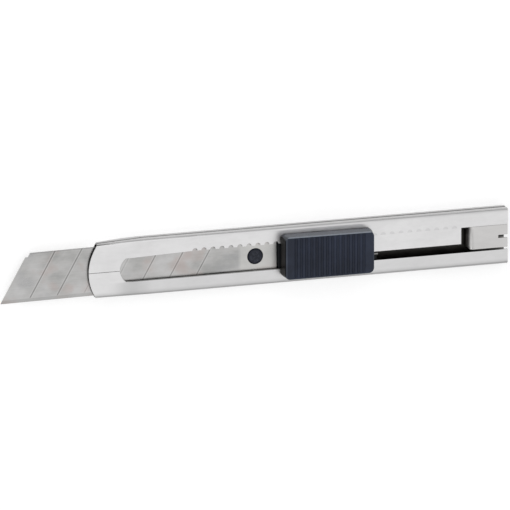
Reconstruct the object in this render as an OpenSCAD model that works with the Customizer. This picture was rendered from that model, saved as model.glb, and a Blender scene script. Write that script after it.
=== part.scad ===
// Snap-off blade utility knife: folded steel casing, blade runner, push-lock slider and pull-out end clip.
// X runs along the knife with the blade's tip towards -X. Y points to the spine and +Z out of the
// slider's face. The origin is under the middle of the knife, on the flat back that it lies on.

/* [Casing] */
// Length of the casing from the bulge of its mouth to its rear end
casing_len = 156; // [156:0.1:158]
// Width of the casing from the edge side to the spine
casing_w = 20.5; // [20.5:0.1:21]
// Thickness of the casing from its back to its front face
casing_t = 5.6; // [5.6:0.1:6]
// Thickness of the steel sheet
sheet = 0.6; // [0.5:0.05:0.6]
// Outer radius of the bends along the casing
bend_r = 1.1; // [0.9:0.1:1.5]
// Thickness of the casing at its mouth
mouth_t = 2.3; // [2.3:0.1:2.6]
// Length of the nose, where the back slopes forward
nose_len = 20; // [18:0.5:20]
// Radius of the mouth's bulging edge
mouth_r = 17.3; // [17:0.1:25]
// How much the spine side is pulled in along the nose
nose_pull = 0.5; // [0.3:0.1:0.5]
// Radius of the window's round front end
window_r = 5.2; // [5:0.1:6]

/* [Rack] */
// Number of lock notches along the travel
notches = 30; // [30:1:30]
// Distance from one lock notch to the next
notch_pitch = 3.3333; // [3.333:0.0001:3.334]
// Radius of a lock notch
notch_r = 0.95; // [0.9:0.05:1]

/* [Blade] */
// Width of the blade
blade_w = 17.8; // [17.8:0.1:18]
// Thickness of the blade
blade_t = 0.5; // [0.4:0.05:0.5]
// How far the blade's tip stands out of the mouth at rest
blade_out = 32.3; // [20:0.1:33]
// Length of one snap-off segment
segment = 10; // [9:0.5:10]
// Slant of the snap-off segments, from the cutting edge
slant = 60; // [55:1:65]
// Droop of the blade in its play, in degrees
droop = 0.5; // [0:0.05:0.5]

/* [Slider] */
// Length of the slider button
button_len = 34.3; // [30:0.1:34.3]
// Width of the slider button
button_w = 16; // [14:0.1:16.5]
// Height of the button's top above the casing's face
button_rise = 5.4; // [4.5:0.1:6]
// How far the button presses in to free the lock
press = 0.6; // [0.4:0.05:0.6]
// Number of grip grooves across the button
grooves = 14; // [10:1:14]

/* [Hidden] */
$fn = 64;

steel = [0.80, 0.80, 0.79];
blade_grey = [0.68, 0.68, 0.67];
navy = [0.16, 0.18, 0.23];
over = 1; // how far a cutting shape runs past the face that it cuts

// the mouth's bulge is this far in front of the origin
mouth_x = -(casing_len - blade_out) / 2;
face_in = casing_t - sheet; // inner side of the front face
slope = atan((casing_t - mouth_t) / nose_len);
seam_z = casing_t / 2;
seam_mouth_z = casing_t - mouth_t / 2;
seam_slope = atan((seam_mouth_z - seam_z) / nose_len);
edge_pull = 0.2; // the edge side is pulled in less than the spine side
bend_steps = 5; // flats in each bend along the nose
mouth_y = -0.65; // middle of the mouth's bulge
valley_w = 1.3;
valley_deep = 0.42;

// openings in the front face, in Y from the middle of the casing and in X from the mouth
window_x = 11.5;
window_low = -4.8;
window_high = 4.45;
window_front_high = 3.8; // the window's upper side is lower at its front end
window_full_x = 37.6; // and full height from here on
window_end = 100.6;
slot_high = -1.55;
rear_x = 138.5; // the rear opening, where the runner goes in
nose_seam_y = -0.7;
nose_seam_w = 0.16;
nose_seam_deep = 0.4; // the slit is closed below this depth
first_notch = 39.3;
last_open_notch = 18; // later notches are pressed, not cut through
pocket_deep = 0.3;
mark_deep = 0.1;

// blade
blade_z = casing_t - 1.2 - blade_t;
stud_x = 62;
stud_y = 0.2;
blade_rear = 69.9;
stud_r = 2.85;
hole_r = 2.95;
grind_w = 1.4;
edge_land = 0.04;
score_w = 0.3;
score_deep = 0.08;
snap_step_x = 0.95; // the broken-off front edge steps back near the blade's spine
snap_step_y = 1.45;

// runner
carrier_x = 70.5;
carrier_end = 107.2;
carrier_w = 18.4;
carrier_low = 0.9;
carrier_high = 4.7;
pocket_x = 73.6;
pocket_end = 105.1;
pocket_w = 15.6;
pocket_floor = 1.7;
tongue_x = 57.1;
tongue_z = 2.8;
tongue_w = 8;
tongue_gap = 0.1;
shank_r = 1.6;

// button, lock plate and spring
button_x = 70.8;
button_y = 0.15;
button_gap = press + 0.15;
button_top = casing_t + button_rise;
corner_r = 1.6;
button_taper = 0.9;
side_taper = 0.3;
top_chamfer = 0.6;
groove_pitch = 1.94;
groove_x = 75.2;
groove_r = 0.6;
groove_deep = 0.42;
stem_x = 77.6;
stem_len = 23;
stem_play = 0.25;
plate_x = 74.1;
plate_len = 30.5;
plate_w = 14.4;
plate_t = 0.8;
plate_top = face_in - 0.1;
nose_r = 0.8;
nose_top = face_in + 0.25;
nose_notch = 14; // the notch that holds the lock at rest
tail_len = 3;
tail_w = 0.5;
tail_y = -2.6;
tail_play = 0.3;
rivet_r = 0.7;
rivet_head_r = 1.2;
rivet_head_t = 0.3;
rivet_top = 8;
rivet_xs = [80.6, 97.6];
rivet_y = -3;
spring_t = 0.35;
spring_w = 6.6;
spring_y = 3;
spring_span = 27;

// end clip
clip_x = 141.2;
clip_sheet = 0.5;
clip_low = sheet + 0.1;
clip_high = casing_t - 0.25;
clip_w = 8.4;
clip_y = 0.12;
clip_foot_w = 18.6;
clip_corner = 1.3;
slit_len = 3.5;
slit_w = 1.1;
slit_y = 0;

// places its children in X from the casing's mouth
module from_mouth(x = 0) {
    translate([mouth_x + x, 0, 0]) children();
}

// extrudes a YZ outline along X, or an XZ outline along Y
module along_x(len) {
    rotate([90, 0, 90]) linear_extrude(len) children();
}

module along_y(w) {
    rotate([90, 0, 0]) linear_extrude(w, center = true) children();
}

// a box with round corners, w wide about x = 0 and h high from y = 0
module round_box(w, h, r) {
    for (x = [r - w / 2, w / 2 - r], y = [r, h - r]) translate([x, y]) circle(r);
    translate([r - w / 2, 0]) square([w - 2 * r, h]);
    translate([-w / 2, r]) square([w, h - 2 * r]);
}

// a strip from y = low to y = high whose front end bulges to x = x0 with radius r
module bulged_strip(x0, x1, low, high, r) {
    intersection() {
        union() {
            translate([x0 + r, (low + high) / 2]) circle(r);
            translate([x0 + r, low]) square([x1 - x0 - r, high - low]);
        }
        translate([x0, low]) square([x1 - x0, high - low]);
    }
}

// a wide bar with its bends on one side (1 or -1), turned in along the nose by pull
module nose_side(side, pull, inset) {
    r = bend_r - inset;
    turns = [for (k = [0:bend_steps]) 90 * k / bend_steps];
    translate([nose_len, side * (casing_w / 2 - inset), 0]) rotate(side * atan(pull / nose_len))
        translate([-2 * nose_len, 0, 0]) along_x(casing_len + 2 * nose_len) polygon(concat(
            [[-2 * side * casing_w, casing_t + over], [-2 * side * casing_w, -over]],
            [for (a = turns) [side * r * (sin(a) - 1), inset + r * (1 - cos(a))]],
            [for (a = turns) [side * r * (cos(a) - 1), casing_t - inset - r * (1 - sin(a))]]
        ));
}

// the whole casing as one solid, before it is hollowed and parted
module casing_outside() {
    intersection() {
        along_x(casing_len) round_box(casing_w, casing_t, bend_r);
        nose_side(1, nose_pull, 0);
        nose_side(-1, edge_pull, 0);
        along_y(casing_w + over) polygon([
            [0, casing_t], [0, casing_t - mouth_t], [nose_len, 0], [casing_len, 0], [casing_len, casing_t]
        ]);
        linear_extrude(casing_t) bulged_strip(0, casing_len, 2 * mouth_y - casing_w / 2, casing_w / 2, mouth_r);
    }
}

module casing_hollow() {
    wall = sheet / cos(slope);
    rise = tan(slope) * over;
    intersection() {
        translate([-over, 0, sheet]) along_x(casing_len + 2 * over)
            round_box(casing_w - 2 * sheet, casing_t - 2 * sheet, bend_r - sheet);
        nose_side(1, nose_pull, sheet);
        along_y(casing_w) polygon([
            [-over, face_in], [-over, casing_t - mouth_t + wall + rise],
            [nose_len, wall], [nose_len + over, sheet],
            [casing_len + over, sheet], [casing_len + over, face_in]
        ]);
    }
}

// everything in front of the seam that runs along both edges of the casing
module seam_front() {
    along_y(casing_w + 2 * over) polygon([
        [-over, seam_mouth_z + over * tan(seam_slope)], [nose_len, seam_z], [casing_len + over, seam_z],
        [casing_len + over, casing_t + over], [-over, casing_t + over]
    ]);
}

// the valley between the rolled edges of the two shells
module valley() {
    polygon([[-valley_deep, 0], [0, -valley_w / 2], [valley_deep, 0], [0, valley_w / 2]]);
}

module seam_valleys() {
    for (side = [-1, 1]) translate([nose_len, side * casing_w / 2, seam_z]) {
        pull = side > 0 ? nose_pull : edge_pull;
        along_x(casing_len) valley();
        rotate([0, 180 + seam_slope, side * atan(pull / nose_len)]) along_x(nose_len + 2) valley();
    }
}

module casing_wall() {
    difference() {
        casing_outside();
        casing_hollow();
        seam_valleys();
    }
}

module window_outline() {
    bulged_strip(window_x, window_full_x, window_low, window_front_high, window_r);
    polygon([
        [window_x + window_r, window_low], [window_x + window_r, window_front_high],
        [window_full_x, window_high], [window_end, window_high], [window_end, window_low]
    ]);
    translate([window_end - over, window_low]) square([rear_x - window_end + 2 * over, slot_high - window_low]);
    translate([rear_x, window_low]) square([casing_len - rear_x + over, window_high - window_low]);
}

// the pressed marks show only the upper half of a notch
module half_moon() {
    intersection() {
        circle(notch_r);
        translate([-notch_r, 0]) square([2 * notch_r, notch_r]);
    }
}

module front_shell() {
    color(steel) from_mouth() difference() {
        intersection() {
            casing_wall();
            seam_front();
        }
        translate([0, 0, face_in - over]) linear_extrude(sheet + 2 * over) window_outline();
        for (k = [0:last_open_notch]) translate([first_notch + k * notch_pitch, window_high, face_in - over])
            cylinder(r = notch_r, h = sheet + 2 * over);
        for (k = [last_open_notch + 1:notches - 1])
            translate([first_notch + k * notch_pitch, window_high, 0]) {
                translate([0, 0, face_in - over]) cylinder(r = notch_r, h = over + pocket_deep);
                translate([0, 0, casing_t - mark_deep]) linear_extrude(over) half_moon();
            }
        translate([-over, nose_seam_y - nose_seam_w / 2, casing_t - nose_seam_deep])
            cube([window_x + 2 * over, nose_seam_w, nose_seam_deep + over]);
    }
}

module back_shell() {
    color(steel) from_mouth() difference() {
        casing_wall();
        seam_front();
    }
}

// a strip of sheet bent into a U, lying in the rear opening between the two sides of the front face
module end_clip() {
    bend = (clip_high - clip_low) / 2;
    color(steel) from_mouth() difference() {
        union() {
            intersection() {
                translate([0, clip_y, 0]) along_y(clip_w) difference() {
                    union() {
                        translate([clip_x + bend, clip_low + bend]) circle(bend);
                        translate([clip_x + bend, clip_low])
                            square([casing_len - clip_x - bend, 2 * bend]);
                    }
                    translate([clip_x + bend, clip_low + bend]) circle(bend - clip_sheet);
                    translate([clip_x + bend, clip_low + clip_sheet])
                        square([casing_len, 2 * (bend - clip_sheet)]);
                }
                translate([0, clip_y, 0]) linear_extrude(casing_t) union() {
                    translate([clip_x + clip_corner, clip_corner - clip_w / 2]) circle(clip_corner);
                    translate([clip_x, clip_corner - clip_w / 2]) square([casing_len, clip_w]);
                    translate([clip_x + clip_corner, -clip_w / 2]) square([casing_len, clip_w]);
                }
            }
            translate([clip_x + bend, -clip_foot_w / 2, clip_low])
                cube([casing_len - clip_x - bend, clip_foot_w, clip_sheet]);
        }
        translate([casing_len - slit_len, slit_y - slit_w / 2, clip_high - over])
            cube([slit_len + over, slit_w, 2 * over]);
    }
}

// the outline has its origin at the stud hole; the cutting edge runs along its lower side
module blade_outline() {
    low = -blade_w / 2;
    high = blade_w / 2;
    tip = -(stud_x + blade_out);
    run = 1 / tan(slant);
    shoulder = high - snap_step_y;
    difference() {
        polygon([
            [tip, low],
            [tip + (shoulder - low) * run, shoulder],
            [tip + (shoulder - low) * run + snap_step_x, shoulder],
            [tip + blade_w * run + snap_step_x, high],
            [blade_rear - stud_x, high],
            [blade_rear - stud_x, low]
        ]);
        circle(hole_r);
    }
}

module blade_section() {
    low = -blade_w / 2;
    polygon([
        [low, (blade_t - edge_land) / 2], [low, (blade_t + edge_land) / 2], [low + grind_w, blade_t],
        [blade_w, blade_t], [blade_w, 0], [low + grind_w, 0]
    ]);
}

module blade() {
    low = -blade_w / 2;
    score_len = (blade_w - grind_w) / sin(slant);
    color(blade_grey) from_mouth(stud_x) translate([0, stud_y, blade_z]) rotate(droop) difference() {
        intersection() {
            linear_extrude(blade_t) blade_outline();
            translate([-stud_x - blade_out - over, 0, 0]) along_x(blade_rear + blade_out + 2 * over)
                blade_section();
        }
        for (k = [1:7])
            translate([k * segment - stud_x - blade_out + grind_w / tan(slant), low + grind_w, 0])
                rotate(slant) translate([0, -score_w / 2, blade_t - score_deep])
                cube([score_len + over, score_w, over]);
    }
}

module blade_carrier() {
    color(navy) from_mouth() difference() {
        union() {
            translate([carrier_x, -carrier_w / 2, carrier_low])
                cube([carrier_end - carrier_x, carrier_w, carrier_high - carrier_low]);
            translate([tongue_x, stud_y - tongue_w / 2, tongue_z])
                cube([carrier_x - tongue_x + over, tongue_w, blade_z - tongue_gap - tongue_z]);
        }
        translate([pocket_x, -pocket_w / 2, pocket_floor])
            cube([pocket_end - pocket_x, pocket_w, casing_t]);
        translate([pocket_end - over, tail_y - tail_w / 2 - tail_play, plate_top - plate_t - press - tail_play])
            cube([carrier_end - pocket_end + 2 * over, tail_w + 2 * tail_play, casing_t]);
        translate([stud_x, stud_y, tongue_z - over]) cylinder(r = shank_r, h = casing_t);
    }
}

module blade_stud() {
    seat = blade_z - tongue_gap;
    head_top = blade_z + blade_t + 0.25;
    edge = 0.2;
    color(navy) from_mouth(stud_x) translate([0, stud_y, 0]) {
        translate([0, 0, tongue_z]) cylinder(r = shank_r, h = seat - tongue_z + edge);
        translate([0, 0, seat]) cylinder(r = stud_r, h = head_top - seat - edge);
        translate([0, 0, head_top - edge]) cylinder(r1 = stud_r, r2 = stud_r - edge, h = edge);
    }
}

// the cap's sides lean in, its upper edges are chamfered and its corners are round
module button_cap() {
    low = casing_t + button_gap;
    half = button_len / 2;
    side = button_w / 2;
    chamfer_z = button_top - top_chamfer;
    lean_x = button_taper - top_chamfer / 2;
    lean_y = side_taper;
    intersection() {
        translate([0, 0, low]) linear_extrude(button_top - low)
            translate([0, -side]) round_box(button_len, button_w, corner_r);
        along_y(button_w + over) polygon([
            [-half, low], [half, low], [half - lean_x, chamfer_z], [half - lean_x - top_chamfer, button_top],
            [lean_x + top_chamfer - half, button_top], [lean_x - half, chamfer_z]
        ]);
        translate([-half - over, 0, 0]) along_x(button_len + 2 * over) polygon([
            [-side, low], [side, low], [side - lean_y, chamfer_z], [side - lean_y - top_chamfer, button_top],
            [lean_y + top_chamfer - side, button_top], [lean_y - side, chamfer_z]
        ]);
    }
}

module slider_button() {
    stem_w = slot_high - window_low - 2 * stem_play;
    color(navy) difference() {
        union() {
            from_mouth(button_x + button_len / 2) translate([0, button_y, 0]) button_cap();
            from_mouth(stem_x) translate([0, window_low + stem_play, plate_top])
                cube([stem_len, stem_w, casing_t + button_gap - plate_top + over]);
        }
        for (k = [0:grooves - 1]) from_mouth(groove_x + k * groove_pitch)
            translate([0, 0, button_top + groove_r - groove_deep])
            rotate([90, 0, 0]) cylinder(r = groove_r, h = casing_w + over, center = true);
        for (x = rivet_xs) from_mouth(x) translate([0, rivet_y, 0]) cylinder(r = rivet_r, h = rivet_top);
    }
}

module lock_plate() {
    low = plate_top - plate_t;
    color(steel) from_mouth() difference() {
        union() {
            translate([plate_x, -plate_w / 2, low]) cube([plate_len, plate_w, plate_t]);
            translate([plate_x + plate_len - over, tail_y - tail_w / 2, low])
                cube([tail_len + over, tail_w, plate_t]);
            translate([first_notch + nose_notch * notch_pitch, window_high, low])
                cylinder(r = nose_r, h = nose_top - low);
        }
        for (x = rivet_xs) translate([x, rivet_y, 0]) cylinder(r = rivet_r, h = casing_t);
    }
}

module plate_rivets() {
    low = plate_top - plate_t;
    color(steel) for (x = rivet_xs) from_mouth(x) translate([0, rivet_y, 0]) {
        translate([0, 0, low - rivet_head_t]) cylinder(r = rivet_head_r, h = rivet_head_t);
        translate([0, 0, low - rivet_head_t]) cylinder(r = rivet_r, h = rivet_top - low + rivet_head_t);
    }
}

// a leaf bowed up from the floor of the runner's pocket to the underside of the lock plate
module lock_spring() {
    rise = plate_top - plate_t - pocket_floor - spring_t;
    half = spring_span / 2;
    bow_r = (half * half + rise * rise) / (2 * rise);
    centre = pocket_floor + rise - bow_r;
    color(steel) from_mouth(plate_x + plate_len / 2) translate([0, spring_y, 0]) along_y(spring_w)
        intersection() {
            difference() {
                translate([0, centre]) circle(bow_r + spring_t, $fn = 240);
                translate([0, centre]) circle(bow_r, $fn = 240);
            }
            translate([-half, pocket_floor]) square([spring_span, rise + spring_t]);
        }
}

front_shell();
back_shell();
end_clip();
blade();
blade_carrier();
blade_stud();
slider_button();
lock_plate();
plate_rivets();
lock_spring();
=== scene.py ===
import math

import bmesh
import bpy
from mathutils import Matrix, Vector


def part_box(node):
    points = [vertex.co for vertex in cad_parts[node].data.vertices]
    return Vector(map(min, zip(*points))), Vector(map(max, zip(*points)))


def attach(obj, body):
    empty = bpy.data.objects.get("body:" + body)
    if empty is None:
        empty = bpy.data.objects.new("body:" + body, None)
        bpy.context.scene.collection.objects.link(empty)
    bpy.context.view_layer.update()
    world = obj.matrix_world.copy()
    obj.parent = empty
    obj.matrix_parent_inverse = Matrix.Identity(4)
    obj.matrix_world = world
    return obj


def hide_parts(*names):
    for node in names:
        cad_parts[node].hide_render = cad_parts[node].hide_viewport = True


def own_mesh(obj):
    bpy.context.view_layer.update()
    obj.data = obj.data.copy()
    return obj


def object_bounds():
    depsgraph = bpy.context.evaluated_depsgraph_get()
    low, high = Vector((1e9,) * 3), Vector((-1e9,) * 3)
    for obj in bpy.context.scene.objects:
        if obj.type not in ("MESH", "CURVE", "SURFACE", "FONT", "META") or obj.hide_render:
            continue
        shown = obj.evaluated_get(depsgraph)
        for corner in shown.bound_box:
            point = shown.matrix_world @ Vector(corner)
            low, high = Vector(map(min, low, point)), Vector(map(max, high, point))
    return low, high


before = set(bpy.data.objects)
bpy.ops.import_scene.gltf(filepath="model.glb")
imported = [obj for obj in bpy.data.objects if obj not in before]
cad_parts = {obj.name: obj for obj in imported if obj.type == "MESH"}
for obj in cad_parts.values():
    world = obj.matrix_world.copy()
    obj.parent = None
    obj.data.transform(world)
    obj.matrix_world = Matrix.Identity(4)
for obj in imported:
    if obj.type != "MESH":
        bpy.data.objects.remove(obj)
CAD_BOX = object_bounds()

# Looks of the snap-off utility knife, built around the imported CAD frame. All lengths are in metres.

MM = 0.001


def low(node):
    """Lowest corner of a CAD node."""
    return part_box(node)[0]


def high(node):
    """Highest corner of a CAD node."""
    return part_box(node)[1]


MOUTH = low("front_shell").x
REAR = high("front_shell").x
FACE = high("front_shell").z
HALF_WIDTH = high("front_shell").y
NOSE = 20 * MM            # length of the back's slope towards the mouth
MOUTH_THICK = 2.3 * MM    # the casing's thickness at the mouth
BLADE_DROOP = 0.5         # degrees that the blade lies tilted in the casing
SPINE_IN = 0.30 * MM      # how far the cap is drawn in on its spine side in front
SPINE_TAPER = 0.30 * MM   # and how much further at its rear


def add_object(name, data):
    """Links a new object with this data to the scene."""
    made = bpy.data.objects.new(name, data)
    bpy.context.scene.collection.objects.link(made)
    return made


# ---------------------------------------------------------------- node helpers

def fill_ramp(node, stops):
    """Sets a colour ramp's stops; each is (position, (r, g, b))."""
    elements = node.color_ramp.elements
    while len(elements) < len(stops):
        elements.new(1)
    for element, (position, colour) in zip(elements, stops):
        element.position = position
        element.color = (*colour, 1)


class Nodes:
    """Short calls for building one material's nodes."""

    def __init__(self, name):
        self.material = bpy.data.materials.new(name)
        self.material.use_nodes = True
        self.tree = self.material.node_tree
        self.shader = self.tree.nodes["Principled BSDF"]
        self.coords = self.tree.nodes.new("ShaderNodeTexCoord").outputs["Object"]

    def set(self, **values):
        """Sets the shader's own sockets; an underscore stands for a space in a socket's name."""
        for name, value in values.items():
            self.shader.inputs[name.replace("_", " ")].default_value = value

    def link(self, source, socket):
        """Links a value to one of the shader's sockets."""
        self.tree.links.new(source, self.shader.inputs[socket])

    def feed(self, node, index, value):
        """Gives a node's input a link or a fixed value."""
        if value is None:
            return
        if hasattr(value, "is_output"):
            self.tree.links.new(value, node.inputs[index])
        else:
            node.inputs[index].default_value = value

    def math(self, operation, a, b=None, c=None):
        node = self.tree.nodes.new("ShaderNodeMath")
        node.operation = operation
        for index, value in enumerate((a, b, c)):
            self.feed(node, index, value)
        return node.outputs[0]

    def axes(self, turn=0.0, centre=(0, 0, 0)):
        """x, y and z of the object's own coordinates in metres, after a turn about Z."""
        mapping = self.tree.nodes.new("ShaderNodeMapping")
        mapping.vector_type = "TEXTURE"
        mapping.inputs["Location"].default_value = centre
        mapping.inputs["Rotation"].default_value = (0, 0, turn)
        self.tree.links.new(self.coords, mapping.inputs["Vector"])
        split = self.tree.nodes.new("ShaderNodeSeparateXYZ")
        self.tree.links.new(mapping.outputs[0], split.inputs[0])
        return split.outputs

    def noise(self, scale, stretch=(1, 1, 1), detail=3.0, roughness=0.5, turn=0.0):
        """Noise with the given number of features per metre, stretched along the axes."""
        mapping = self.tree.nodes.new("ShaderNodeMapping")
        mapping.inputs["Scale"].default_value = stretch
        mapping.inputs["Rotation"].default_value = (0, 0, turn)
        self.tree.links.new(self.coords, mapping.inputs["Vector"])
        node = self.tree.nodes.new("ShaderNodeTexNoise")
        node.inputs["Scale"].default_value = scale
        node.inputs["Detail"].default_value = detail
        node.inputs["Roughness"].default_value = roughness
        self.tree.links.new(mapping.outputs[0], node.inputs["Vector"])
        return node.outputs[0]

    def remap(self, value, from_low, from_high, to_low, to_high):
        node = self.tree.nodes.new("ShaderNodeMapRange")
        for index, part in enumerate((value, from_low, from_high, to_low, to_high)):
            self.feed(node, index, part)
        return node.outputs[0]

    def ramp(self, value, *stops):
        """Colour ramp; each stop is (position, (r, g, b))."""
        node = self.tree.nodes.new("ShaderNodeValToRGB")
        fill_ramp(node, stops)
        self.tree.links.new(value, node.inputs[0])
        return node.outputs[0]

    def mix(self, factor, a, b):
        """Colour a where the factor is 0 and b where it is 1."""
        node = self.tree.nodes.new("ShaderNodeMix")
        node.data_type = "RGBA"
        self.feed(node, 0, factor)
        for index, value in ((6, a), (7, b)):
            self.feed(node, index, value if hasattr(value, "is_output") else (*value, 1))
        return node.outputs[2]

    def bump(self, *layers):
        """Stacks bumps: each layer is (height, depth of the relief in metres, strength)."""
        normal = None
        for height, depth, strength in layers:
            node = self.tree.nodes.new("ShaderNodeBump")
            node.inputs["Strength"].default_value = strength
            node.inputs["Distance"].default_value = depth
            self.tree.links.new(height, node.inputs["Height"])
            if normal:
                self.tree.links.new(normal, node.inputs["Normal"])
            normal = node.outputs[0]
        self.link(normal, "Normal")


# ---------------------------------------------------------------- materials

def sheet_steel(name, light, dark, rough):
    """Bright rolled stainless sheet: soft clouds, a faint grain along the knife and fine scratches."""
    n = Nodes(name)
    n.set(Metallic=1.0)
    clouds = n.noise(60, (1, 2.4, 1), 4, 0.55)
    mottle = n.noise(330, (0.8, 1.5, 1), 3, 0.55)
    grain = n.noise(500, (0.04, 5, 5), 2, 0.5)
    scratches = n.noise(380, (0.10, 8, 3), 4, 0.7, turn=0.05)
    tone = n.math("ADD", n.math("MULTIPLY", clouds, 0.55), n.math("MULTIPLY", mottle, 0.45))
    colour = n.ramp(tone, (0.36, dark), (0.60, light))
    wear = n.remap(scratches, 0.66, 0.80, 0.0, 0.30)
    colour = n.mix(wear, colour, tuple(0.62 * c for c in light))
    n.link(n.remap(mottle, 0.35, 0.7, rough, rough + 0.10), "Roughness")
    n.bump((clouds, 0.00012, 0.10), (grain, 0.000006, 0.20))
    return n, colour


def casing_steel():
    """The folded casing: a bright face, with painted shade on the bends and sides, below the window, in the
    seam valleys, over the inside and in the pressed marks.
    """
    n, colour = sheet_steel("casing_steel_rolled", (0.86, 0.855, 0.855), (0.78, 0.775, 0.775), 0.30)
    x, y, z = n.axes()
    side = n.math("ABSOLUTE", y)
    depth = n.math("SUBTRACT", FACE, z)
    on_face = n.math("LESS_THAN", depth, 0.30 * MM)
    # painted shade on the bends along both sides, deepest down the side walls
    bend = n.math("MULTIPLY", n.remap(side, HALF_WIDTH - 1.6 * MM, HALF_WIDTH - 0.7 * MM, 0.0, 1.0),
                  n.remap(depth, 0.0, 0.55 * MM, 0.15, 1.0))
    colour = n.mix(n.math("MULTIPLY", bend, 0.85), colour, (0.47, 0.465, 0.465))

    # painted shade on the face below the window, greyest by the window's round front end, and a painted
    # shadow line along the window's lower edge
    round_end, line_y, line_end = MOUTH + 16.5 * MM, -4.92 * MM, MOUTH + 76 * MM
    from_round = n.math("ABSOLUTE", n.math("SUBTRACT", x, round_end))
    lower = n.math("MULTIPLY", n.remap(y, -5.3 * MM, -4.6 * MM, 1.0, 0.0),
                   n.remap(from_round, 1 * MM, 7 * MM, 0.46, 0.20))
    lower = n.math("MULTIPLY", lower, n.remap(x, MOUTH + 7 * MM, MOUTH + 13 * MM, 0.0, 1.0))
    lower = n.math("MULTIPLY", lower, on_face)
    colour = n.mix(lower, colour, (0.42, 0.42, 0.42))
    # painted shadow: a thin dark line just below the window's lower edge
    from_line = n.math("ABSOLUTE", n.math("SUBTRACT", y, line_y))
    edge_line_shadow = n.math("MULTIPLY", n.math("LESS_THAN", from_line, 0.13 * MM), n.math("LESS_THAN", x, line_end))
    edge_line_shadow = n.math("MULTIPLY", edge_line_shadow, n.remap(x, MOUTH + 13 * MM, MOUTH + 16 * MM, 0.0, 0.72))
    edge_line_shadow = n.math("MULTIPLY", edge_line_shadow, on_face)
    colour = n.mix(edge_line_shadow, colour, (0.10, 0.10, 0.098))

    # painted shade on the bend along the edge side, and painted shade in the seam valleys halfway up both
    # sides, darker towards the rear
    edge_bend_shade = n.remap(y, 2.1 * MM - HALF_WIDTH, 0.6 * MM - HALF_WIDTH, 0.0, 0.50)
    colour = n.mix(edge_bend_shade, colour, (0.42, 0.42, 0.42))
    seam_z = n.remap(x, MOUTH, MOUTH + NOSE, FACE - MOUTH_THICK / 2, FACE / 2 + 0.1 * MM)
    off = n.math("ABSOLUTE", n.math("SUBTRACT", z, seam_z))
    seam_shade = n.math("MULTIPLY", n.remap(off, 0.40 * MM, 0.72 * MM, 1.0, 0.0),
                  n.math("GREATER_THAN", side, HALF_WIDTH - 1.0 * MM))
    deepen = n.remap(x, MOUTH, REAR, 0.72, 1.0)
    colour = n.mix(n.math("MULTIPLY", seam_shade, deepen), colour, (0.045, 0.044, 0.043))

    # painted shade over the inside, and painted shade in the pressed marks that carry on the notches
    back = n.remap(x, MOUTH, MOUTH + NOSE, FACE - MOUTH_THICK, 0.0)
    inside_shade = n.math("MULTIPLY", n.math("LESS_THAN", side, HALF_WIDTH - 0.80 * MM),
                    n.math("GREATER_THAN", depth, 0.14 * MM))
    above = n.math("GREATER_THAN", n.math("SUBTRACT", z, back), 0.40 * MM)
    colour = n.mix(n.math("MULTIPLY", n.math("MULTIPLY", inside_shade, above), 0.97), colour, (0.028, 0.025, 0.022))
    mark_shade = n.math("MULTIPLY", n.remap(depth, 0.04 * MM, 0.08 * MM, 0.0, 0.22),
                    n.math("LESS_THAN", side, HALF_WIDTH - 3.0 * MM))
    mark_shade = n.math("MULTIPLY", mark_shade, on_face)
    colour = n.mix(mark_shade, colour, (0.45, 0.45, 0.45))
    n.link(colour, "Base Color")
    return n.material


def clip_steel():
    """Satin clip: duller than the casing, with painted shade between its two legs and a painted black shadow
    under the slit.
    """
    n, colour = sheet_steel("clip_steel_satin", (0.74, 0.73, 0.72), (0.67, 0.66, 0.65), 0.36)
    x, y, z = n.axes()
    first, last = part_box("end_clip")
    bend, skin = (last.z - first.z) / 2, 0.12 * MM
    slit_half, slit_long = 1.1 * MM, 4.6 * MM
    ahead = n.math("MAXIMUM", n.math("SUBTRACT", first.x + bend, x), 0.0)
    rise = n.math("SUBTRACT", z, first.z + bend)
    reach = n.math("SQRT", n.math("ADD", n.math("POWER", ahead, 2.0),
                                  n.math("POWER", n.math("ABSOLUTE", rise), 2.0)))
    inner = n.math("LESS_THAN", reach, bend - skin)
    # painted shade inside the curl, between the two legs
    colour = n.mix(n.math("MULTIPLY", inner, 0.85), colour, (0.150, 0.147, 0.140))
    # a painted black shadow on the back leg, where it shows through the slit
    across = n.math("LESS_THAN", n.math("ABSOLUTE", y), slit_half)
    under_slit = n.math("MULTIPLY", across, n.math("GREATER_THAN", x, last.x - slit_long))
    slit_shadow = n.math("MULTIPLY", n.math("MULTIPLY", inner, under_slit), 0.9)
    colour = n.mix(slit_shadow, colour, (0.02, 0.02, 0.019))
    n.link(colour, "Base Color")
    return n.material


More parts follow.
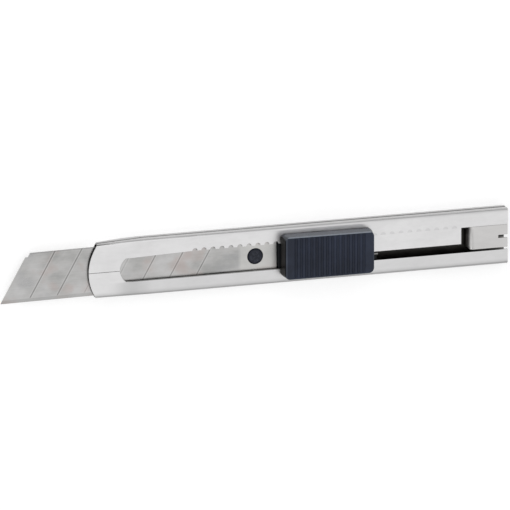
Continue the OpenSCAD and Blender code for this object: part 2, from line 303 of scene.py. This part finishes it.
def blade_steel():
    """Ground carbon steel: a fine grind along the blade, oily stains, soft score lines and a ground edge."""
    n = Nodes("blade_steel_ground")
    n.set(Metallic=1.0)
    stud = (low("blade_stud") + high("blade_stud")) / 2
    x, y, _ = n.axes(math.radians(BLADE_DROOP), (stud.x, stud.y, 0))
    edge, grind_w, slant = -8.9 * MM, 1.4 * MM, math.radians(60)
    half_pitch, scored, worn_score, tang_start = 5 * MM, 74 * MM, 36 * MM, 87.8 * MM
    clouds = n.noise(75, (1, 1.8, 1), 4, 0.55)
    grind = n.noise(600, (0.03, 6, 1), 2, 0.5)
    stains = n.noise(95, (1, 1.3, 1), 3, 0.5)
    tone = n.math("ADD", n.math("MULTIPLY", clouds, 0.90), n.math("MULTIPLY", grind, 0.10))
    colour = n.ramp(tone, (0.36, (0.41, 0.41, 0.40)), (0.50, (0.53, 0.525, 0.515)),
                    (0.64, (0.61, 0.605, 0.60)))
    colour = n.mix(n.remap(stains, 0.53, 0.66, 0.0, 0.55), colour, (0.54, 0.46, 0.435))
    colour = n.mix(n.remap(stains, 0.46, 0.34, 0.0, 0.36), colour, (0.39, 0.395, 0.405))

    # score lines, each with a bright burr beside its groove
    along = n.math("SUBTRACT", x, n.math("DIVIDE", n.math("SUBTRACT", y, edge), math.tan(slant)))
    cell = n.math("SUBTRACT", along, low("blade").x - stud.x)
    off = n.math("PINGPONG", cell, half_pitch)
    row = n.math("MULTIPLY", n.math("GREATER_THAN", cell, half_pitch), n.math("LESS_THAN", cell, scored))
    row = n.math("MULTIPLY", row, n.math("GREATER_THAN", y, edge + grind_w))
    groove = n.math("MULTIPLY", n.remap(off, 0.12 * MM, 0.34 * MM, 1.0, 0.0), row)
    hidden = n.remap(n.math("ABSOLUTE", n.math("SUBTRACT", cell, worn_score)), 7 * MM, 9 * MM, 0.2, 1.0)
    faint = n.math("MULTIPLY", n.remap(cell, 12 * MM, 24 * MM, 0.50, 0.42), hidden)
    colour = n.mix(n.math("MULTIPLY", groove, faint), colour, (0.17, 0.165, 0.16))
    burr = n.math("MULTIPLY", n.remap(n.math("ABSOLUTE", n.math("SUBTRACT", off, 0.50 * MM)),
                                      0.05 * MM, 0.22 * MM, 0.45, 0.0), row)
    colour = n.mix(burr, colour, (0.68, 0.68, 0.67))

    # the dark back, the lighter tang and the ground edge
    back_line = n.remap(y, 8.45 * MM, 8.65 * MM, 0.0, 0.42)
    colour = n.mix(back_line, colour, (0.26, 0.26, 0.26))
    from_tip = n.math("SUBTRACT", x, low("blade").x - stud.x)
    tang = n.remap(from_tip, tang_start, tang_start + 1.4 * MM, 0.0, 0.50)
    colour = n.mix(tang, colour, (0.72, 0.715, 0.69))
    bevel = n.math("LESS_THAN", y, edge + grind_w)
    colour = n.mix(n.math("MULTIPLY", bevel, 0.30), colour, (0.40, 0.40, 0.395))
    from_grind = n.math("ABSOLUTE", n.math("SUBTRACT", y, edge + grind_w))
    burr_line = n.remap(from_grind, 0.1 * MM, 0.3 * MM, 0.35, 0.0)
    colour = n.mix(burr_line, colour, (0.62, 0.62, 0.61))
    n.link(colour, "Base Color")
    n.link(n.remap(stains, 0.3, 0.75, 0.26, 0.40), "Roughness")
    n.bump((clouds, 0.00008, 0.10), (grind, 0.000008, 0.25))
    return n.material


def navy_plastic(name, base, gloss, grain):
    """Moulded dark navy plastic with a fine spark texture and faint flow marks."""
    n = Nodes(name)
    n.set(IOR=1.46, Specular_IOR_Level=0.34)
    flow = n.noise(120, (1, 1, 1), 3, 0.6)
    spark = n.noise(5200, (1, 1, 1), 2, 0.6)
    lighter = tuple(min(1.0, c * 1.7 + 0.002) for c in base)
    colour = n.ramp(flow, (0.35, base), (0.70, lighter))
    n.link(colour, "Base Color")
    n.link(n.remap(spark, 0.3, 0.7, gloss, gloss + 0.14), "Roughness")
    n.bump((flow, 0.00004, 0.08), (spark, 0.00001, grain))
    return n, colour, flow


def slider_plastic():
    """The cap's plastic: painted highlights on its upper edges, painted light on its spine side with a
    painted highlight along its crest, painted shade in its grooves, and painted shade and less shine on its
    front wall.
    """
    n, colour, flow = navy_plastic("slider_plastic_navy", (0.012, 0.017, 0.032), 0.26, 0.12)
    first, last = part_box("slider_button")
    x, y, z = n.axes()
    middle, half = (first + last) / 2, (last - first) / 2
    end_rim, side_rim = 1.20 * MM, 0.36 * MM

    # painted shade in the grooves, and painted highlights on the upper edges; drawn_y follows the spine side,
    # which is drawn in
    groove = n.remap(z, last.z - 0.36 * MM, last.z - 0.06 * MM, 0.28, 0.0)
    colour = n.mix(groove, colour, (0.003, 0.004, 0.008))
    off_x = n.math("SUBTRACT", n.math("ABSOLUTE", n.math("SUBTRACT", x, middle.x)), half.x - end_rim)
    drawn_y = n.math("ADD", y, n.remap(x, first.x, last.x, SPINE_IN, SPINE_IN + SPINE_TAPER))
    off_y = n.math("SUBTRACT", n.math("MAXIMUM", n.math("SUBTRACT", drawn_y, middle.y),
                                      n.math("SUBTRACT", middle.y, y)), half.y - side_rim)
    edge = n.remap(n.math("MAXIMUM", off_x, off_y), 0.0, 0.15 * MM, 0.0, 1.0)
    upper = n.remap(z, last.z - 0.62 * MM, last.z - 0.40 * MM, 0.0, 1.0)
    edge_highlight = n.math("MULTIPLY", n.math("MULTIPLY", edge, upper), n.remap(flow, 0.3, 0.7, 0.35, 0.75))
    colour = n.mix(edge_highlight, colour, (0.085, 0.100, 0.130))

    # painted light on the spine side with a painted highlight along its crest, and painted shade on the front
    # wall
    spine = n.remap(drawn_y, last.y - side_rim, last.y - 0.26 * MM, 0.0, 0.38)
    colour = n.mix(spine, colour, (0.115, 0.130, 0.155))
    crest = n.math("MULTIPLY", n.remap(drawn_y, last.y - 0.44 * MM, last.y - 0.32 * MM, 0.0, 1.0),
                   n.remap(z, last.z - 0.42 * MM, last.z - 0.22 * MM, 0.0, 0.85))
    colour = n.mix(crest, colour, (0.25, 0.28, 0.32))
    front = n.remap(x, first.x + 0.50 * MM, first.x + 0.72 * MM, 1.0, 0.0)
    colour = n.mix(front, colour, (0.002, 0.002, 0.0025))
    n.link(n.remap(front, 0.0, 1.0, 0.34, 0.08), "Specular IOR Level")
    n.link(colour, "Base Color")
    return n.material


def stud_plastic():
    """The stud's plastic: mottled where the thumb and the oil reach it, with painted light towards its lower
    right and painted shade towards its upper left, and dark around the rim.
    """
    n, colour, _ = navy_plastic("stud_plastic_navy", (0.006, 0.008, 0.015), 0.24, 0.15)
    first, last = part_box("blade_stud")
    middle, reach = (first + last) / 2, (last.x - first.x) / 2
    x, y, _ = n.axes(0.0, (middle.x, middle.y, 0))
    away = n.math("SQRT", n.math("ADD", n.math("MULTIPLY", x, x), n.math("MULTIPLY", y, y)))
    spots = n.remap(n.noise(900, (1, 1, 1), 3, 0.6), 0.45, 0.62, 0.0, 0.75)
    inside = n.remap(away, 0.62 * reach, 0.86 * reach, 1.0, 0.0)
    # painted light and shade: the mottling fades towards the upper left and is strongest towards the lower
    # right
    corner = n.remap(n.math("SUBTRACT", x, y), -reach, 0.4 * reach, 0.15, 1.0)
    wear_and_light = n.math("MULTIPLY", n.math("MULTIPLY", spots, inside), corner)
    colour = n.mix(wear_and_light, colour, (0.055, 0.062, 0.085))
    n.link(n.remap(away, 0.80 * reach, 0.95 * reach, 0.34, 0.10), "Specular IOR Level")
    n.link(colour, "Base Color")
    return n.material


def spring_steel():
    """Dark spring steel of the lock parts: blued, with a fine grain."""
    n = Nodes("spring_steel_blued")
    n.set(Metallic=1.0)
    clouds = n.noise(300, (1, 1, 1), 4, 0.6)
    grain = n.noise(900, (0.1, 5, 5), 2, 0.5)
    n.link(n.ramp(clouds, (0.3, (0.22, 0.215, 0.21)), (0.7, (0.36, 0.355, 0.35))), "Base Color")
    n.link(n.remap(grain, 0.3, 0.7, 0.28, 0.44), "Roughness")
    n.bump((grain, 0.00001, 0.3))
    return n.material


# ---------------------------------------------------------------- CAD pieces that stay

def finish_node(node, material, broken=0.0):
    """Gives a CAD node its material, a weld and edges broken by this width; its mesh itself is left alone."""
    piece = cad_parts[node]
    piece.data.materials.clear()
    piece.data.materials.append(material)
    weld = piece.modifiers.new("weld", "WELD")
    weld.merge_threshold = 1e-6
    if broken:
        bevel = piece.modifiers.new("broken_edges", "BEVEL")
        bevel.width = broken
        bevel.segments = 2
        bevel.limit_method = "ANGLE"
        bevel.angle_limit = math.radians(32)
        bevel.harden_normals = False
        bevel.use_clamp_overlap = True


def finish_cad_nodes(spring):
    """Finishes the seven CAD nodes that show themselves."""
    casing = casing_steel()
    clip = clip_steel()
    finish_node("front_shell", casing, 0.07 * MM)
    finish_node("back_shell", casing, 0.07 * MM)
    finish_node("end_clip", clip, 0.09 * MM)
    finish_node("blade", blade_steel())
    carrier = navy_plastic("carrier_plastic_matt", (0.004, 0.005, 0.007), 0.5, 0.35)[0]
    finish_node("blade_carrier", carrier.material, 0.2 * MM)
    for node in ("lock_plate", "plate_rivets"):
        finish_node(node, spring, 0.06 * MM)


# ---------------------------------------------------------------- pieces of their own

def loft(mesh, rings):
    """Joins rings of vertices into a skin and closes both ends."""
    for a, b in zip(rings, rings[1:]):
        for i in range(len(a)):
            mesh.faces.new((a[i - 1], a[i], b[i], b[i - 1]))
    mesh.faces.new(rings[0])
    mesh.faces.new(rings[-1])
    bmesh.ops.recalc_face_normals(mesh, faces=mesh.faces)


def thumb_button():
    """The ribbed cap, lofted along the knife: leaning walls, rounded edges and corners, and round-bottomed
    grooves that run out before the side edges. Its spine side is drawn in a little, more so at the rear."""
    first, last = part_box("slider_button")
    middle_y, half = (first.y + last.y) / 2, (last.y - first.y) / 2
    bottom, top = FACE + 0.75 * MM, last.z
    front, rear = first.x + 0.15 * MM, last.x
    front_lean, rear_lean, side_lean = 0.25 * MM, 0.85 * MM, 0.04 * MM
    corner, edge = 2.0 * MM, 0.32 * MM
    pitch, groove_r, groove_deep, grooves = 1.94 * MM, 0.60 * MM, 0.40 * MM, 14
    groove_x, run_out = MOUTH + 75.2 * MM, 0.50 * MM
    lip, lip_deep = 0.12 * MM, 0.05 * MM
    wall_steps, round_steps, side_steps, top_steps, flat_steps = 8, 10, 26, 36, 420

    def inset(z, lean):
        """How far a wall stands in from the base at height z."""
        into = max(z - (top - edge), 0.0) / edge
        return lean * (z - bottom) / (top - bottom) + edge * (1 - math.sqrt(max(1 - into * into, 0.0)))

    def half_width(x, z):
        """Half the width of the cap's rounded outline at height z."""
        ahead = min(x - front - inset(z, front_lean), rear - x - inset(z, rear_lean))
        left = corner - min(max(ahead, 0.0), corner)
        return half - inset(z, side_lean) - corner + math.sqrt(corner * corner - left * left)

    def groove_depth(x):
        """Depth of the ribbed top at x: grooves with rubbed lips between flat ribs."""
        k = min(max(round((x - groove_x) / pitch), 0), grooves - 1)
        off = abs(x - (groove_x + k * pitch))
        reach = math.sqrt(groove_r ** 2 - (groove_r - groove_deep) ** 2)
        if off >= reach + lip:
            return 0.0
        if off >= reach:
            return lip_deep * (1 - (off - reach) / lip) ** 2
        return max(lip_deep, groove_deep - groove_r + math.sqrt(groove_r ** 2 - off ** 2))

    rise = [bottom + (top - edge - bottom) * t / wall_steps for t in range(wall_steps)]
    rise += [top - edge + edge * math.sin(math.pi / 2 * t / round_steps) for t in range(round_steps + 1)]
    flat_x, flat_end = front + inset(top, front_lean), rear - inset(top, rear_lean)
    stations = [(front + inset(z, front_lean), z) for z in rise]
    stations += [(flat_x + (flat_end - flat_x) * t / flat_steps, top) for t in range(1, flat_steps)]
    stations += [(rear - inset(z, rear_lean), z) for z in reversed(rise)]

    mesh = bmesh.new()
    rings = []
    for x, height in stations:
        drawn_in = SPINE_IN + SPINE_TAPER * (x - first.x) / (last.x - first.x)
        depth = groove_depth(x) if height == top else 0.0
        levels = [bottom + (height - bottom) * math.sin(math.pi / 2 * t / side_steps)
                  for t in range(side_steps + 1)]
        side = [(half_width(x, z), z) for z in levels]
        inner = side[-1][0]
        across = []
        for t in range(1, top_steps):
            y = inner * math.cos(math.pi * t / top_steps)
            share = min((inner - abs(y)) / run_out, 1.0)
            across.append((y, height - depth * share * share * (3 - 2 * share)))
        outline = side + across + [(-y, z) for y, z in reversed(side)]
        rings.append([mesh.verts.new((x, middle_y + y - drawn_in * (0.5 + y / (2 * half)), z))
                      for y, z in outline])
    for a, b in zip(rings, rings[1:]):
        for i in range(len(a)):
            mesh.faces.new((a[i - 1], b[i - 1], b[i], a[i]))
    bmesh.ops.remove_doubles(mesh, verts=mesh.verts, dist=1e-7)
    bmesh.ops.holes_fill(mesh, edges=[e for e in mesh.edges if e.is_boundary], sides=0)
    bmesh.ops.recalc_face_normals(mesh, faces=mesh.faces)
    return mesh_piece("thumb_button", mesh, "thumb_slider")


def button_stem():
    """The stem that joins the cap to the lock plate through the casing's slot: a loft of rounded outlines."""
    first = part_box("slider_button")[0]
    x0, x1 = MOUTH + 77.6 * MM, MOUTH + 100.6 * MM
    y0, y1 = -4.55 * MM, -1.80 * MM
    z0, z1 = first.z, FACE + 0.80 * MM
    corner, edge, turns = 0.9 * MM, 0.2 * MM, 32
    levels = ((z0, edge), (z0 + 0.3 * edge, 0.3 * edge), (z0 + edge, 0), (z1 - edge, 0), (z1, 0.5 * edge))
    mesh = bmesh.new()
    rings = []
    for z, into in levels:
        ring = []
        for turn in range(turns):
            angle = math.tau * (turn + 0.5) / turns
            side_x, side_y = math.copysign(1, math.cos(angle)), math.copysign(1, math.sin(angle))
            x = (x0 + x1) / 2 + side_x * ((x1 - x0) / 2 - corner) + (corner - into) * math.cos(angle)
            y = (y0 + y1) / 2 + side_y * ((y1 - y0) / 2 - corner) + (corner - into) * math.sin(angle)
            ring.append(mesh.verts.new((x, y, z)))
        rings.append(ring)
    loft(mesh, rings)
    return mesh_piece("button_stem", mesh, "thumb_slider")


def stud_head():
    """The blade stud: a shank under a dished head with a rounded rim, turned about its axis."""
    first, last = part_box("blade_stud")
    centre = (first + last) / 2
    reach, top, seat = (last.x - first.x) / 2, last.z, last.z - 0.95 * MM
    shank, rim = 1.58 * MM, 0.16 * MM
    outline = [(0, first.z), (shank, first.z), (shank, seat), (reach, seat), (reach, top - rim)]
    outline += [(reach - rim * (1 - math.cos(a)), top - rim * (1 - math.sin(a)))
                for a in (math.radians(22.5 * k) for k in range(1, 5))]
    ring_in, dish_deep, steps = reach - 0.55 * MM, 0.16 * MM, 8
    outline += [(ring_in, top)]
    outline += [(ring_in * (1 - t / steps), top - dish_deep * (1 - (1 - t / steps) ** 4))
                for t in range(1, steps)]
    outline += [(0, top - dish_deep)]
    mesh = bmesh.new()
    verts = [mesh.verts.new((radius, 0, z)) for radius, z in outline]
    edges = [mesh.edges.new(pair) for pair in zip(verts, verts[1:])]
    bmesh.ops.spin(mesh, geom=verts + edges, cent=(0, 0, 0), axis=(0, 0, 1), angle=math.tau, steps=96,
                   use_duplicate=False)
    bmesh.ops.remove_doubles(mesh, verts=mesh.verts, dist=1e-7)
    bmesh.ops.recalc_face_normals(mesh, faces=mesh.faces)
    mesh.transform(Matrix.Translation((centre.x, centre.y, 0)))
    return mesh_piece("stud_head", mesh, "runner")


def leaf_spring():
    """The bowed leaf between the runner and the lock plate, in its bowed rest shape."""
    first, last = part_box("lock_spring")
    thick, chamfer, press, steps = 0.35 * MM, 0.06 * MM, 0.62 * MM, 60
    half = (last.x - first.x) / 2
    rise = last.z - first.z - thick
    radius = (half ** 2 + rise ** 2) / (2 * rise)
    middle_x, middle_z = (first.x + last.x) / 2, first.z + rise - radius
    reach = math.asin(half / (radius + thick))
    outer = radius + thick
    section = [(radius + chamfer, first.y), (radius, first.y + chamfer), (radius, last.y - chamfer),
               (radius + chamfer, last.y), (outer - chamfer, last.y), (outer, last.y - chamfer),
               (outer, first.y + chamfer), (outer - chamfer, first.y)]
    mesh = bmesh.new()
    rings = []
    for step in range(steps + 1):
        angle = reach * (2 * step / steps - 1)
        rings.append([mesh.verts.new((middle_x + r * math.sin(angle), y, middle_z + r * math.cos(angle)))
                      for r, y in section])
    loft(mesh, rings)
    piece = mesh_piece("leaf_spring", mesh, "runner")
    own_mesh(piece)
    return piece


def mesh_piece(name, mesh, body):
    """Turns a mesh into a smooth-shaded piece that rides on a body."""
    data = bpy.data.meshes.new(name)
    mesh.to_mesh(data)
    mesh.free()
    for face in data.polygons:
        face.use_smooth = True
    data.set_sharp_from_angle(angle=math.radians(34))
    piece = add_object(name, data)
    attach(piece, body)
    return piece


# ---------------------------------------------------------------- scene

def studio_world():
    """A pale room: bright overhead, greyer towards the horizon and darker on the blade's side."""
    world = bpy.data.worlds.new("studio")
    bpy.context.scene.world = world
    world.use_nodes = True
    tree = world.node_tree
    tree.nodes.clear()
    coords = tree.nodes.new("ShaderNodeTexCoord")
    split = tree.nodes.new("ShaderNodeSeparateXYZ")
    ramp = tree.nodes.new("ShaderNodeValToRGB")
    back = tree.nodes.new("ShaderNodeBackground")
    out = tree.nodes.new("ShaderNodeOutputWorld")
    tree.links.new(coords.outputs["Generated"], split.inputs[0])
    tree.links.new(split.outputs["Z"], ramp.inputs[0])
    across = tree.nodes.new("ShaderNodeMapRange")
    dark_from, bright_from, darkest, brightest = -0.45, 0.10, 0.30, 1.0
    for index, value in enumerate((dark_from, bright_from, darkest, brightest), start=1):
        across.inputs[index].default_value = value
    tree.links.new(split.outputs["X"], across.inputs[0])
    tree.links.new(across.outputs[0], back.inputs["Strength"])
    tree.links.new(ramp.outputs[0], back.inputs["Color"])
    tree.links.new(back.outputs[0], out.inputs["Surface"])
    greys = ((0.0, 0.45), (0.08, 0.18), (0.25, 0.38), (0.55, 0.78), (0.85, 0.86), (1.0, 0.92))
    fill_ramp(ramp, [(position, (grey, grey, grey * 1.005)) for position, grey in greys])


def soft_light(name, place, size, power):
    """A square light that faces the knife."""
    data = bpy.data.lights.new(name, "AREA")
    data.size = size
    data.energy = power
    light = add_object(name, data)
    light.location = place
    light.rotation_euler = (-Vector(place)).to_track_quat("-Z", "Y").to_euler()


def floor():
    """Plain pale paper just under the knife."""
    half_side, gap = 6.0, 0.02 * MM
    mesh = bmesh.new()
    bmesh.ops.create_grid(mesh, x_segments=2, y_segments=2, size=half_side)
    data = bpy.data.meshes.new("floor")
    mesh.to_mesh(data)
    mesh.free()
    piece = add_object("floor", data)
    piece.location.z = CAD_BOX[0].z - gap
    n = Nodes("floor_paper")
    n.set(Roughness=0.9, Emission_Color=(1, 1, 1, 1), Emission_Strength=0.56)
    n.link(n.ramp(n.noise(25, detail=4), (0.3, (0.60, 0.60, 0.60)), (0.7, (0.64, 0.64, 0.64))), "Base Color")
    n.bump((n.noise(900, detail=3), 0.00002, 0.15))
    data.materials.append(n.material)


def camera():
    """Looks down at the knife's face from its spine side, turned a little towards the blade."""
    turn, lift = math.radians(17.6), math.radians(15.75)
    distance, pixels_per_metre = 5.4, 2823
    sensor, image = 36.0, 510
    middle_x, middle_z, shift_up, shift_left = MOUTH + 61.95 * MM, 5 * MM, 0.76 * MM, 0.18 * MM
    back = Vector((-math.sin(turn) * math.cos(lift), math.sin(lift), math.cos(turn) * math.cos(lift)))
    right = Vector((math.cos(turn), 0, math.sin(turn)))
    up = back.cross(right)
    target = Vector((middle_x, 0, middle_z)) + up * shift_up - right * shift_left
    data = bpy.data.cameras.new("camera")
    data.sensor_width = sensor
    data.lens = pixels_per_metre * distance * sensor / image
    data.clip_end = 30
    eye = add_object("camera", data)
    turned = Matrix((right, up, back)).transposed().to_4x4()
    eye.matrix_world = Matrix.Translation(target + back * distance) @ turned
    bpy.context.scene.camera = eye


camera()
studio_world()
soft_light("key", (-0.5, 0.9, 1.3), size=1.7, power=6)
soft_light("fill", (-0.9, -0.7, 1.0), size=1.0, power=3)
soft_light("glint", (-0.95, 0.98, 0.56), size=0.16, power=3)
bpy.context.scene.view_settings.view_transform = "Standard"
floor()
spring = spring_steel()
finish_cad_nodes(spring)
plastic = slider_plastic()
for piece in (thumb_button(), button_stem()):
    piece.data.materials.append(plastic)
    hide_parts("slider_button")

stud = stud_head()
stud.data.materials.append(stud_plastic())
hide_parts("blade_stud")

leaf = leaf_spring()
leaf.data.materials.append(spring)
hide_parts("lock_spring")

bpy.context.view_layer.update()
